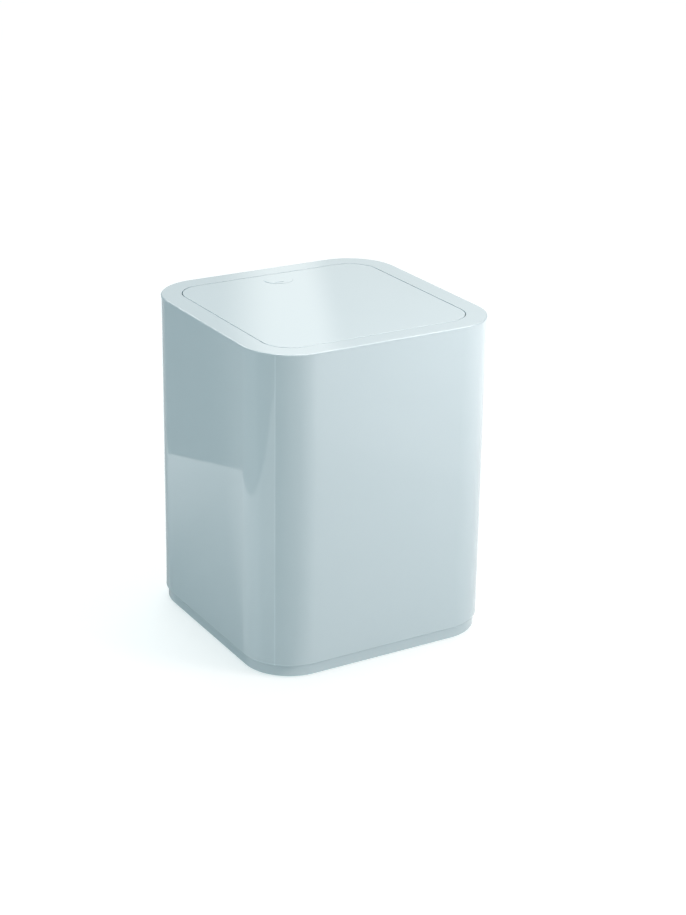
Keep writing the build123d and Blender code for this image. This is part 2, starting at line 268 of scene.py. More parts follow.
    def combine(self, other: "Workpiece", how: Join) -> None:
        """Joins another workpiece to this one, or cuts it away, exactly.

        Args:
            other: The second workpiece, which is used up.
            how: Whether it is added or cut away.
        """
        body = self.placed("body")
        tool = other.placed("tool")
        meeting = body.modifiers.new("meeting", "BOOLEAN")
        meeting.operation = how.value
        meeting.solver = "EXACT"
        meeting.use_self = True
        meeting.object = tool
        graph = bpy.context.evaluated_depsgraph_get()
        joined = bpy.data.meshes.new_from_object(body.evaluated_get(graph))
        self.mesh.clear()
        self.mesh.from_mesh(joined)
        other.mesh.free()
        for used in (body, tool):
            sheet = used.data
            bpy.data.objects.remove(used)
            bpy.data.meshes.remove(sheet)
        bpy.data.meshes.remove(joined)

    def placed(self, name: str) -> bpy.types.Object:
        """Puts the mesh in the scene as it is.

        Args:
            name: The object's name.

        Returns:
            The object.
        """
        sheet = bpy.data.meshes.new(name)
        self.mesh.to_mesh(sheet)
        made = bpy.data.objects.new(name, sheet)
        bpy.context.scene.collection.objects.link(made)
        return made

    def finished(self, name: str, material: bpy.types.Material) -> bpy.types.Object:
        """Cleans the mesh, scales it to metres and makes it a piece.

        Args:
            name: The piece's name.
            material: Its finish.

        Returns:
            The piece, at the origin, with its place in its mesh.
        """
        bmesh.ops.remove_doubles(self.mesh, verts=self.mesh.verts[:], dist=MERGE_DISTANCE)
        bmesh.ops.dissolve_degenerate(self.mesh, edges=self.mesh.edges[:], dist=MERGE_DISTANCE)
        for face in self.mesh.faces:
            face.smooth = True
        for edge in self.mesh.edges:
            edge.smooth = edge.calc_face_angle(0.0) < SHARP_ANGLE
        bmesh.ops.scale(self.mesh, vec=(METRES, METRES, METRES), verts=self.mesh.verts[:])
        piece = self.placed(name)
        self.mesh.free()
        piece.data.materials.append(material)
        flats = piece.modifiers.new("flats_stay_flat", "WEIGHTED_NORMAL")
        flats.keep_sharp = True
        return piece


def linear(colour: str) -> Colour:
    """Turns an sRGB hex colour to the linear values that shaders use.

    Args:
        colour: The colour as six hex digits after a hash.

    Returns:
        Linear red, green, blue and alpha.
    """
    channels = [int(colour[place:place + 2], 16) / 255 for place in (1, 3, 5)]
    red, green, blue = (value / 12.92 if value <= 0.04045 else ((value + 0.055) / 1.055) ** 2.4
                        for value in channels)
    return red, green, blue, 1.0


def per_metre(size: float) -> float:
    """Gives a pattern's scale from the size of its lumps in millimetres."""
    return 1 / (size * METRES)


def add_node(tree: bpy.types.NodeTree, kind: str, settings: dict | None = None,
             inputs: dict | None = None) -> bpy.types.Node:
    """Adds a node with its settings, values and links.

    Args:
        tree: The node tree.
        kind: The node's type.
        settings: Properties of the node.
        inputs: For each input, its value, the output that feeds it, or a node whose first output does.

    Returns:
        The new node.
    """
    node = tree.nodes.new(kind)
    for name, value in (settings or {}).items():
        setattr(node, name, value)
    for name, value in (inputs or {}).items():
        if isinstance(value, bpy.types.Node):
            value = value.outputs[0]
        if isinstance(value, bpy.types.NodeSocket):
            tree.links.new(value, node.inputs[name])
        else:
            node.inputs[name].default_value = value
    return node


def bare_material(name: str) -> tuple[bpy.types.Material, bpy.types.NodeTree, bpy.types.NodeSocket]:
    """Starts a material with no nodes but its object coordinates.

    Args:
        name: The finish's name.

    Returns:
        The material, its node tree and the coordinates' output.
    """
    material = bpy.data.materials.new(name)
    material.use_nodes = True
    material.node_tree.nodes.clear()
    coordinates = add_node(material.node_tree, "ShaderNodeTexCoord")
    return material, material.node_tree, coordinates.outputs["Object"]


@dataclass(frozen=True)
class GlossAbs:
    """Gloss ABS from a polished mould: a clear mirror-like skin over an even pale colour.

    The skin has slow ripples from uneven shrinkage, which bend a reflected edge a little, and a finer grain
    that softens it. The colour drifts very slightly with the flow of the melt. A real grain is about 0.1 mm
    across, too fine to show, so it is drawn as 1.1 mm. Along the corners' diagonals, where the mould's plates
    met, a paler colour is painted in over about 0.1 mm as a painted highlight on the parting line; a width of 0
    leaves it out, and where it is, it is drawn wider to show.
    """

    name: str
    colour: str
    flow_colour: str
    ior: float = 1.52
    roughness: float = 0.018
    rubbed_roughness: float = 0.03
    flow_size: float = 70.0
    rub_size: float = 35.0
    rub_range: tuple[float, float] = (0.3, 0.8)
    ripple_size: float = 26.0
    ripple_depth: float = 0.0035
    grain_size: float = 1.1
    grain_depth: float = 0.00012
    # Painted highlight: a paler colour along the parting line, standing in for the light its fine ridge
    # catches.
    parting_highlight_width: float = 0.0
    parting_highlight_top: float = 250.3
    parting_highlight_colour: str = "#C6DAE0"

    def material(self) -> bpy.types.Material:
        """Builds the finish.

        Returns:
            The material.
        """
        material, tree, place = bare_material(self.name)
        flow, rub, ripples, grains = (
            add_node(tree, "ShaderNodeTexNoise",
                     inputs={"Vector": place, "Scale": per_metre(size), "Detail": detail})
            for size, detail in ((self.flow_size, 2.0), (self.rub_size, 2.0), (self.ripple_size, 1.0),
                                 (self.grain_size, 2.0)))
        colour = add_node(tree, "ShaderNodeMix", {"data_type": "RGBA"},
                          {0: flow, MIX_FIRST: linear(self.colour), MIX_SECOND: linear(self.flow_colour)})
        # Painted highlight: mixes the paler colour into the skin along the parting line.
        if self.parting_highlight_width:
            colour = add_node(tree, "ShaderNodeMix", {"data_type": "RGBA"},
                              {0: self.parting_line_highlight(tree, place), MIX_FIRST: colour.outputs[MIX_RESULT],
                               MIX_SECOND: linear(self.parting_highlight_colour)})
        rubbed = add_node(tree, "ShaderNodeMapRange",
                          inputs={"Value": rub, "From Min": self.rub_range[0],
                                  "From Max": self.rub_range[1], "To Min": self.roughness,
                                  "To Max": self.rubbed_roughness})
        ripple = add_node(tree, "ShaderNodeBump",
                          inputs={"Height": ripples, "Strength": 1.0,
                                  "Distance": self.ripple_depth * METRES})
        grain = add_node(tree, "ShaderNodeBump",
                         inputs={"Height": grains, "Strength": 1.0, "Distance": self.grain_depth * METRES,
                                 "Normal": ripple})
        shader = add_node(tree, "ShaderNodeBsdfPrincipled",
                          inputs={"Base Color": colour.outputs[MIX_RESULT], "IOR": self.ior,
                                  "Roughness": rubbed, "Normal": grain})
        add_node(tree, "ShaderNodeOutputMaterial", inputs={"Surface": shader})
        return material

    def parting_line_highlight(self, tree: bpy.types.NodeTree, place: bpy.types.NodeSocket) -> bpy.types.Node:
        """Marks the corners' diagonals below the rim, along the mould's parting line, where a paler colour is
        painted in as a highlight.

        Args:
            tree: The finish's node tree.
            place: The object coordinates.

        Returns:
            A node that gives 1 on the line and 0 off it.
        """
        folded = add_node(tree, "ShaderNodeVectorMath", {"operation": "ABSOLUTE"}, {0: place})
        split = add_node(tree, "ShaderNodeSeparateXYZ", inputs={"Vector": folded})
        on_line = add_node(tree, "ShaderNodeMath", {"operation": "COMPARE"},
                           {0: split.outputs["X"], 1: split.outputs["Y"],
                            2: self.parting_highlight_width * METRES / (2 * sin(radians(45)))})
        below_rim = add_node(tree, "ShaderNodeMath", {"operation": "LESS_THAN"},
                             {0: split.outputs["Z"], 1: self.parting_highlight_top * METRES})
        return add_node(tree, "ShaderNodeMath", {"operation": "MULTIPLY"}, {0: on_line, 1: below_rim})


@dataclass(frozen=True)
class SatinPlastic:
    """Polypropylene, acetal or ABS from a spark-eroded mould: a soft sheen over a fine even texture.

    Handling rubs the texture smoother in patches. Its real pits are 0.05 to 0.1 mm across, too fine to show,
    so they are drawn several times as wide.
    """

    name: str
    colour: str
    flow_colour: str
    ior: float = 1.49
    roughness: float = 0.42
    worn_roughness: float = 0.3
    wear_range: tuple[float, float] = (0.35, 0.7)
    texture_size: float = 0.45
    texture_depth: float = 0.012
    flow_size: float = 40.0

    def material(self) -> bpy.types.Material:
        """Builds the finish.

        Returns:
            The material.
        """
        material, tree, place = bare_material(self.name)
        flow, wear, pits = (
            add_node(tree, "ShaderNodeTexNoise",
                     inputs={"Vector": place, "Scale": per_metre(size), "Detail": detail})
            for size, detail in ((self.flow_size, 2.0), (self.flow_size / 3, 4.0),
                                 (self.texture_size, 3.0)))
        colour = add_node(tree, "ShaderNodeMix", {"data_type": "RGBA"},
                          {0: flow, MIX_FIRST: linear(self.colour), MIX_SECOND: linear(self.flow_colour)})
        rubbed = add_node(tree, "ShaderNodeMapRange",
                          inputs={"Value": wear, "From Min": self.wear_range[0],
                                  "From Max": self.wear_range[1], "To Min": self.roughness,
                                  "To Max": self.worn_roughness})
        texture = add_node(tree, "ShaderNodeBump",
                           inputs={"Height": pits, "Strength": 1.0,
                                   "Distance": self.texture_depth * METRES})
        shader = add_node(tree, "ShaderNodeBsdfPrincipled",
                          inputs={"Base Color": colour.outputs[MIX_RESULT], "IOR": self.ior,
                                  "Roughness": rubbed, "Normal": texture})
        add_node(tree, "ShaderNodeOutputMaterial", inputs={"Surface": shader})
        return material


@dataclass(frozen=True)
class MouldedRubber:
    """Moulded rubber: dark and matt, with a fine pebble and a dusty bloom that greys it in patches.

    A real pebble is about 0.2 mm across; it is drawn as 0.5 mm, so that it shows.
    """

    name: str
    colour: str = "#26282B"
    bloom_colour: str = "#3A3D40"
    ior: float = 1.52
    roughness: float = 0.55
    dusty_roughness: float = 0.85
    pebble_size: float = 0.5
    pebble_depth: float = 0.02
    bloom_size: float = 6.0

    def material(self) -> bpy.types.Material:
        """Builds the finish.

        Returns:
            The material.
        """
        material, tree, place = bare_material(self.name)
        bloom = add_node(tree, "ShaderNodeTexNoise",
                         inputs={"Vector": place, "Scale": per_metre(self.bloom_size), "Detail": 5.0})
        colour = add_node(tree, "ShaderNodeMix", {"data_type": "RGBA"},
                          {0: bloom, MIX_FIRST: linear(self.colour), MIX_SECOND: linear(self.bloom_colour)})
        dusty = add_node(tree, "ShaderNodeMapRange",
                         inputs={"Value": bloom, "To Min": self.roughness, "To Max": self.dusty_roughness})
        pebble = add_node(tree, "ShaderNodeTexVoronoi",
                          inputs={"Vector": place, "Scale": per_metre(self.pebble_size)})
        skin = add_node(tree, "ShaderNodeBump",
                        inputs={"Height": pebble, "Strength": 1.0, "Distance": self.pebble_depth * METRES})
        shader = add_node(tree, "ShaderNodeBsdfPrincipled",
                          inputs={"Base Color": colour.outputs[MIX_RESULT], "IOR": self.ior,
                                  "Roughness": dusty, "Normal": skin})
        add_node(tree, "ShaderNodeOutputMaterial", inputs={"Surface": shader})
        return material


@dataclass(frozen=True)
class BrightSteel:
    """Bright steel: fine lines in the direction of the tool, and a skin that dulls in patches.

    The real lines are about 0.02 mm apart, too fine to show, so they are drawn some ten times as coarse.
    """

    name: str
    grain: Grain
    colour: str = "#B9BCBE"
    dull_colour: str = "#9A9DA0"
    roughness: float = 0.22
    dull_roughness: float = 0.42
    line_size: float = 0.25
    line_stretch: float = 40.0
    line_depth: float = 0.004
    patch_size: float = 9.0

    def material(self) -> bpy.types.Material:
        """Builds the finish.

        Returns:
            The material.
        """
        material, tree, place = bare_material(self.name)
        stretches = {Grain.DRAWN: (1 / self.line_stretch, 1.0, 1.0),
                     Grain.TURNED: (1.0, 1 / self.line_stretch, 1 / self.line_stretch)}
        along = add_node(tree, "ShaderNodeMapping",
                         inputs={"Vector": place, "Scale": stretches[self.grain]})
        fine = add_node(tree, "ShaderNodeTexNoise",
                        inputs={"Vector": along, "Scale": per_metre(self.line_size), "Detail": 3.0})
        patches = add_node(tree, "ShaderNodeTexNoise",
                           inputs={"Vector": place, "Scale": per_metre(self.patch_size), "Detail": 5.0})
        colour = add_node(tree, "ShaderNodeMix", {"data_type": "RGBA"},
                          {0: patches, MIX_FIRST: linear(self.colour),
                           MIX_SECOND: linear(self.dull_colour)})
        dulled = add_node(tree, "ShaderNodeMapRange",
                          inputs={"Value": patches, "To Min": self.roughness,
                                  "To Max": self.dull_roughness})
        lines = add_node(tree, "ShaderNodeBump",
                         inputs={"Height": fine, "Strength": 1.0, "Distance": self.line_depth * METRES})
        shader = add_node(tree, "ShaderNodeBsdfPrincipled",
                          inputs={"Base Color": colour.outputs[MIX_RESULT], "Metallic": 1.0,
                                  "Roughness": dulled, "Normal": lines})
        add_node(tree, "ShaderNodeOutputMaterial", inputs={"Surface": shader})
        return material


@dataclass
class Cover:
    """The outer cover: walls and rim in one moulding, with the flange, gussets and brackets under the rim."""

    half: float = 100.0
    corner: float = 39.5
    foot: float = 9.8
    top: float = 251.5
    wall: float = 3.0
    rim: float = 3.0
    rim_edge_radius: float = 1.2
    foot_radius: float = 1.5
    opening_half: float = 83.85
    opening_corner: float = 22.95
    mouth_edge_radius: float = 0.15
    inner_edge_radius: float = 0.4
    rim_root_radius: float = 1.2
    flange_depth: float = 12.0
    flange_wall: float = 2.5
    flange_edge_radius: float = 0.4
    gusset_thickness: float = 1.6
    gusset_drop: float = 8.0
    gusset_spacing: float = 40.0
    bracket_depth: float = 7.5
    bracket_half_width: float = 14.0
    web_thickness: float = 2.0
    pivot_drop: float = 7.0
    saddle_radius: float = 3.1
    pilot_radius: float = 1.45
    pilot_depth: float = 7.5
    screw_place: float = 9.0
    screw_setback: float = 0.15
    bracket_edge_radius: float = 0.3
    parting_radius: float = 0.3
    parting_height: float = 0.08

    def build(self, material: bpy.types.Material) -> bpy.types.Object:
        """Makes the cover and puts it in the place of its solid.

        Args:
            material: Its finish.

        Returns:
            The piece.
        """
        work = self.moulding()
        work.combine(self.parting_lines(), Join.ADD)
        work.combine(self.gussets(), Join.ADD)
        for side in Side:
            work.combine(self.bracket().on(side), Join.ADD)
        for side in Side:
            work.combine(self.bracket_cuts().on(side), Join.CUT)
        piece = work.finished("cover_moulding", material)
        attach(piece, "cover")
        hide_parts("outer_cover")
        return piece

    def moulding(self) -> Workpiece:
        """Makes the walls, the rim and the flange round the opening.

        Returns:
            The moulding, before anything is joined to it.
        """
        outer_foot = Ring(self.half, self.corner, self.foot)
        rim_edge = outer_foot.raised(self.top)
        mouth_edge = Ring(self.opening_half, self.opening_corner, self.top)
        flange_inner = mouth_edge.raised(self.top - self.flange_depth)
        flange_outer = flange_inner.drawn_in(-self.flange_wall)
        flange_root = flange_outer.raised(self.top - self.rim)
        rim_root = rim_edge.drawn_in(self.wall).raised(self.top - self.rim)
        inner_foot = rim_root.raised(self.foot)
        work = Workpiece()
        work.shell([outer_foot, rim_edge, mouth_edge, flange_inner, flange_outer, flange_root, rim_root,
                    inner_foot], closed=True)
        work.soften(outer_foot, self.foot_radius)
        work.soften(rim_edge, self.rim_edge_radius)
        work.soften(mouth_edge, self.mouth_edge_radius, steps=3)
        for ring in (flange_inner, flange_outer):
            work.soften(ring, self.flange_edge_radius, steps=3)
        work.soften(rim_root, self.rim_root_radius, steps=4)
        work.soften(inner_foot, self.inner_edge_radius, steps=3)
        return work

    def parting_lines(self) -> Workpiece:
        """Makes the fine ridges on the corners' diagonals, where the mould's side plates met.

        A real one is about 0.1 mm wide. It is drawn about 0.4 mm wide, so that it shows.

        Returns:
            The four ridges.
        """
        diagonal = self.half - self.corner + (self.corner + self.parting_height - self.parting_radius) \
            * cos(radians(45))
        work = Workpiece()
        for x_sign in (-1, 1):
            for y_sign in (-1, 1):
                work.rod(Axis.ALONG_Z, self.parting_radius, self.foot + self.foot_radius,
                         self.top - self.rim_edge_radius, (x_sign * diagonal, y_sign * diagonal), steps=48)
        return work

    def gussets(self) -> Workpiece:
        """Makes the triangular gussets between the flange and the walls, clear of the brackets.

        Returns:
            The gussets on all four sides.
        """
        outer = self.half - self.wall + OVERLAP
        inner = self.opening_half + self.flange_wall - OVERLAP
        top = self.top - self.rim + OVERLAP
        half_thickness = self.gusset_thickness / 2
        plate = Workpiece()
        plate.block((inner, -half_thickness, top - self.gusset_drop), (outer, half_thickness, top))
        slope = Vector((self.gusset_drop, 0, -(outer - inner)))
        cut = bmesh.ops.bisect_plane(plate.mesh, geom=plate.mesh.verts[:] + plate.mesh.edges[:]
                                     + plate.mesh.faces[:], plane_co=(outer, 0, top), plane_no=slope,
                                     clear_outer=True)
        rims = [item for item in cut["geom_cut"] if isinstance(item, bmesh.types.BMEdge)]
        bmesh.ops.contextual_create(plate.mesh, geom=rims)
        bmesh.ops.recalc_face_normals(plate.mesh, faces=plate.mesh.faces[:])
        drawn = plate.mesh.verts[:] + plate.mesh.edges[:] + plate.mesh.faces[:]
        for turn in (0, 90, 180, 270):
            bracket_here = turn in (0, 180)
            for step in (-1, 1) if bracket_here else (-1, 0, 1):
                copy = bmesh.ops.duplicate(plate.mesh, geom=drawn)["geom"]
                verts = [item for item in copy if isinstance(item, bmesh.types.BMVert)]
                bmesh.ops.translate(plate.mesh, vec=(0, step * self.gusset_spacing, 0), verts=verts)
                bmesh.ops.rotate(plate.mesh, cent=(0, 0, 0), matrix=Matrix.Rotation(radians(turn), 3, "Z"),
                                 verts=verts)
        bmesh.ops.delete(plate.mesh, geom=[item for item in drawn if isinstance(item, bmesh.types.BMVert)],
                         context="VERTS")
        return plate

    def bracket(self) -> Workpiece:
        """Makes the right bearing bracket: a block under the rim with two webs to the wall.

        Returns:
            The bracket.
        """
        outer = self.opening_half + self.bracket_depth
        bottom = self.top - self.flange_depth
        top = self.top - self.rim + OVERLAP
        work = Workpiece()
        work.block((self.opening_half + self.bracket_edge_radius * 2, -self.bracket_half_width, bottom),
                   (outer, self.bracket_half_width, top), self.bracket_edge_radius)
        webs = Workpiece()
        for sign in (-1, 1):
            web_outer = sign * self.bracket_half_width
            web_inner = sign * (self.bracket_half_width - self.web_thickness)
            webs.block((outer - OVERLAP, min(web_outer, web_inner), bottom),
                       (self.half - self.wall + OVERLAP, max(web_outer, web_inner), top))
        work.combine(webs, Join.ADD)
        return work

    def bracket_cuts(self) -> Workpiece:
        """Makes what is cut from the cover at the right bracket: the saddle and the pilot holes.

        Returns:
            What is cut away.
        """
        low = self.opening_half - OVERLAP
        high = self.opening_half + self.bracket_depth + OVERLAP
        axis = self.top - self.pivot_drop
        bottom = self.top - self.flange_depth
        work = Workpiece()
        work.rod(Axis.ALONG_X, self.saddle_radius, low, high, (0, axis))
        slot = Workpiece()
        slot.block((low, -self.saddle_radius, bottom - OVERLAP), (high, self.saddle_radius, axis))
        work.combine(slot, Join.ADD)
        screw_x = (self.opening_half + self.screw_setback + self.opening_half + self.bracket_depth) / 2
        for sign in (-1, 1):
            work.rod(Axis.ALONG_Z, self.pilot_radius, bottom - OVERLAP, bottom + self.pilot_depth,
                     (screw_x, sign * self.screw_place), steps=32)
        return work


@dataclass
class Lid:
    """The lid: skin, skirt, ribs, pivot bosses, the counterweight's pocket and the press dimple."""

    half: float = 83.25
    corner: float = 22.35
    top: float = 251.5
    thickness: float = 2.5
    skirt_wall: float = 2.0
    skirt_depth: float = 12.0
    edge_radius: float = 0.35
    skirt_edge_radius: float = 0.3
    skin_root_radius: float = 0.8
    rib_thickness: float = 1.6
    rib_depth: float = 6.0
    rib_place: float = 40.0
    axis_height: float = 244.5
    boss_radius: float = 5.0
    boss_inner_end: float = 71.75
    bore_radius: float = 2.03
    bore_end: float = 73.25
    pocket_half_length: float = 46.9
    pocket_half_width: float = 7.9
    pocket_wall: float = 1.6
    pocket_bottom: float = 228.0
    pocket_offset: float = 0.114
    stop_place: float = 30.0
    weight_top: float = 237.0
    screw_boss_radius: float = 3.4
    screw_place: float = 50.0
    pilot_radius: float = 1.45
    pilot_top: float = 236.9
    dimple_radius: float = 12.0
    dimple_from_edge: float = 14.2
    dimple_depth: float = 1.0
    dimple_run: float = 18.0
    dimple_lip_radius: float = 0.25
    feel_groove_length: float = 7.5
    feel_groove_width: float = 0.9
    feel_groove_depth: float = 0.4
    feel_groove_place: tuple[float, float] = (-2.2, 5.2)
    pad_radius: float = 11.5
    pad_shift: tuple[float, float] = (0.5, 0.3)
    pad_drop: float = 0.05
    pad_root: float = 1.5

    def build(self, material: bpy.types.Material) -> bpy.types.Object:
        """Makes the lid and puts it in the place of its solid.

        Args:
            material: Its finish.

        Returns:
            The piece.
        """
        work = self.skin()
        work.combine(self.ribs(), Join.ADD)
        work.combine(self.pocket(), Join.ADD)
        for side in Side:
            work.combine(self.boss().on(side), Join.ADD)
        for side in Side:
            work.combine(self.bores().on(side), Join.CUT)
        work.combine(self.dimple(), Join.CUT)
        work.combine(self.press_pad(), Join.ADD)
        piece = work.finished("lid_moulding", material)
        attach(piece, "lid")
        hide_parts("lid_panel")
        return piece

    def skin(self) -> Workpiece:
        """Makes the skin and its skirt.

        Returns:
            The skin with its skirt.
        """
        edge = Ring(self.half, self.corner, self.top)
        skirt_outer = edge.raised(self.top - self.skirt_depth)
        skirt_inner = skirt_outer.drawn_in(self.skirt_wall)
        root = skirt_inner.raised(self.top - self.thickness)
        work = Workpiece()
        work.shell([edge, skirt_outer, skirt_inner, root], closed=False)
        work.soften(edge, self.edge_radius, steps=4)
        for ring in (skirt_outer, skirt_inner):
            work.soften(ring, self.skirt_edge_radius, steps=2)
        work.soften(root, self.skin_root_radius, steps=3)
        return work

    def ribs(self) -> Workpiece:
        """Makes the stiffening ribs under the skin, which end at the pocket where they meet it.

        Returns:
            The ribs.
        """
        top = self.top - self.thickness + OVERLAP
        bottom = self.top - self.thickness - self.rib_depth
        reach = self.half - self.skirt_wall + OVERLAP
        half_rib = self.rib_thickness / 2
        front = self.pocket_offset - self.pocket_half_width + OVERLAP
        back = self.pocket_offset + self.pocket_half_width - OVERLAP
        work = Workpiece()
        for sign in (-1, 1):
            place = sign * self.rib_place
            work.block((-reach, place - half_rib, bottom), (reach, place + half_rib, top))
        across = Workpiece()
        for sign in (-1, 1):
            place = sign * self.rib_place
            across.block((place - half_rib, -reach, bottom), (place + half_rib, front, top))
            across.block((place - half_rib, back, bottom), (place + half_rib, reach, top))
        work.combine(across, Join.ADD)
        return work

    def pocket(self) -> Workpiece:
        """Makes the counterweight's pocket, with its two stop ribs and the screw bosses.

        Returns:
            The pocket.
        """
        top = self.top - self.thickness + OVERLAP
        front = self.pocket_offset - self.pocket_half_width
        back = self.pocket_offset + self.pocket_half_width
        work = Workpiece()
        work.block((-self.pocket_half_length, front, self.pocket_bottom),
                   (self.pocket_half_length, back, top), self.skirt_edge_radius)
        hollow = Workpiece()
        inner = self.pocket_half_length - self.pocket_wall
        hollow.block((-inner, front + self.pocket_wall, self.pocket_bottom - CUT_PAST),
                     (inner, back - self.pocket_wall, top - OVERLAP))
        work.combine(hollow, Join.CUT)
        inside = Workpiece()
        for sign in (-1, 1):
            place = sign * self.stop_place
            inside.block((place - self.pocket_wall / 2, front + self.pocket_wall / 2, self.weight_top),
                         (place + self.pocket_wall / 2, back - self.pocket_wall / 2, top))
            inside.rod(Axis.ALONG_Z, self.screw_boss_radius, self.pocket_bottom, top,
                       (sign * self.screw_place, self.pocket_offset))
        work.combine(inside, Join.ADD)
        return work

    def boss(self) -> Workpiece:
        """Makes the right pivot boss, which hangs from the skin on a block.

        Returns:
            The boss.
        """
        outer = self.half - self.skirt_wall + OVERLAP
        work = Workpiece()
        work.rod(Axis.ALONG_X, self.boss_radius, self.boss_inner_end, outer, (0, self.axis_height))
        web = Workpiece()
        web.block((self.boss_inner_end, -self.boss_radius, self.axis_height),
                  (outer, self.boss_radius, self.top - self.thickness + OVERLAP))
        work.combine(web, Join.ADD)
        return work

    def bores(self) -> Workpiece:
        """Makes what is cut on the right: the pin's bore and a pilot hole in the pocket's screw boss.

        Returns:
            What is cut away.
        """
        work = Workpiece()
        work.rod(Axis.ALONG_X, self.bore_radius, self.bore_end, self.half + CUT_PAST,
                 (0, self.axis_height), steps=48)
        work.rod(Axis.ALONG_Z, self.pilot_radius, self.pocket_bottom - CUT_PAST, self.pilot_top,
                 (self.screw_place, self.pocket_offset), steps=32)
        return work

    def dimple_middle(self) -> float:
        """Gives the distance of the dimple's middle from the lid's middle."""
        return self.half - self.dimple_from_edge

    def dimple_slope(self) -> float:
        """Gives how much the dimple's floor climbs towards the back."""
        return self.dimple_depth / self.dimple_run

    def dimple(self) -> Workpiece:
        """Makes the dimple's cutter: a well with a rounded lip, over a floor that climbs to the back.

        Returns:
            What is cut away.
        """
        floor_radius = self.dimple_radius - self.dimple_lip_radius
        middle = self.dimple_middle()
        near = middle - self.dimple_radius
        section = bmesh.new()
        heights = (self.top - 2 * self.dimple_depth, self.top, self.top, self.top + CUT_PAST)
        widths = (floor_radius, floor_radius, self.dimple_radius, self.dimple_radius)
        points = [section.verts.new((width, 0, height)) for width, height in zip(widths, heights)]
        for pair in zip(points, points[1:]):
            section.edges.new(pair)
        bmesh.ops.bevel(section, geom=[points[1]], offset=self.dimple_lip_radius, offset_type="OFFSET",
                        segments=5, profile=0.5, affect="VERTICES", material=-1)
        bmesh.ops.remove_doubles(section, verts=section.verts[:], dist=MERGE_DISTANCE)
        bmesh.ops.spin(section, geom=section.verts[:] + section.edges[:], cent=(0, 0, 0), axis=(0, 0, 1),
                       angle=radians(360), steps=2 * ROUND_STEPS, use_merge=True)
        rims = [edge for edge in section.edges if edge.is_boundary]
        bmesh.ops.holes_fill(section, edges=rims)
        bmesh.ops.translate(section, vec=(0, middle, 0), verts=section.verts[:])
        cut = bmesh.ops.bisect_plane(section, geom=section.verts[:] + section.edges[:] + section.faces[:],
                                     plane_co=(0, near, self.top - self.dimple_depth),
                                     plane_no=(0, self.dimple_slope(), -1), clear_outer=True)
        rims = [item for item in cut["geom_cut"] if isinstance(item, bmesh.types.BMEdge)]
        bmesh.ops.contextual_create(section, geom=rims)
        bmesh.ops.recalc_face_normals(section, faces=section.faces[:])
        work = Workpiece()
        work.take(section)
        return work

    def press_pad(self) -> Workpiece:
        """Makes the pad in the dimple, set off its middle, so that a crescent groove shows at its front left.

        Its top stays just under the lid's, and a short groove in it tells a fingertip where to press.

        Returns:
            The pad.
        """
        bottom = self.top - self.pad_root
        top = self.top - self.pad_drop
        middle = self.dimple_middle()
        pad = Workpiece()
        pad.rod(Axis.ALONG_Z, self.pad_radius, bottom, top,
                (self.pad_shift[0], middle + self.pad_shift[1]), steps=2 * ROUND_STEPS)
        place_x = self.feel_groove_place[0]
        place_y = middle - self.dimple_radius + self.feel_groove_place[1]
        half_length = self.feel_groove_length / 2
        half_width = self.feel_groove_width / 2
        groove = Workpiece()
        groove.block((place_x - half_length, place_y - half_width, top - self.feel_groove_depth),
                     (place_x + half_length, place_y + half_width, top + CUT_PAST), half_width / 2)
        pad.combine(groove, Join.CUT)
        return pad


@dataclass
class Bucket:
    """The inner bucket: tapered walls, a floor and a lip that turns out and down."""

    foot: float = 9.8
    top: float = 232.0
    foot_half: float = 84.0
    foot_corner: float = 26.0
    mouth_half: float = 91.0
    mouth_corner: float = 30.5
    wall: float = 1.8
    floor: float = 2.2
    lip_half: float = 94.0
    lip_corner: float = 33.5
    lip_thickness: float = 1.8
    lip_turn_down: float = 5.0
    lip_turn_wall: float = 1.6
    lip_edge_radius: float = 0.8
    foot_radius: float = 1.2
    floor_radius: float = 3.0

    def outline(self, height: float, inset: float) -> Ring:
        """Gives the tapered wall's outline at a height.

        Args:
            height: The height above the floor.
            inset: How far it is drawn in from the outer wall.

        Returns:
            The outline.
        """
        share = (height - self.foot) / (self.top - self.foot)
        half = self.foot_half + share * (self.mouth_half - self.foot_half)
        corner = self.foot_corner + share * (self.mouth_corner - self.foot_corner)
        return Ring(half - inset, corner - inset, height)

    def build(self, material: bpy.types.Material) -> bpy.types.Object:
        """Makes the bucket and puts it in the place of its solid.

        Args:
            material: Its finish.

        Returns:
            The piece.
        """
        inner_floor = self.outline(self.foot + self.floor, self.wall)
        inner_mouth = self.outline(self.top, self.wall)
        lip_edge = Ring(self.lip_half, self.lip_corner, self.top)
        turn_outer = lip_edge.raised(self.top - self.lip_turn_down)
        turn_inner = turn_outer.drawn_in(self.lip_turn_wall)
        lip_under = turn_inner.raised(self.top - self.lip_thickness)
        wall_top = self.outline(self.top - self.lip_thickness, 0)
        outer_foot = self.outline(self.foot, 0)
        work = Workpiece()
        work.shell([inner_floor, inner_mouth, lip_edge, turn_outer, turn_inner, lip_under, wall_top,
                    outer_foot], closed=False)
        work.soften(inner_floor, self.floor_radius)
        work.soften(inner_mouth, self.lip_edge_radius, steps=4)
        work.soften(lip_edge, self.lip_edge_radius, steps=4)
        for ring in (turn_outer, turn_inner):
            work.soften(ring, self.lip_turn_wall / 4, steps=3)
        work.soften(outer_foot, self.foot_radius, steps=4)
        piece = work.finished("bucket_moulding", material)
        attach(piece, "bucket")
        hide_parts("inner_bucket")
        return piece


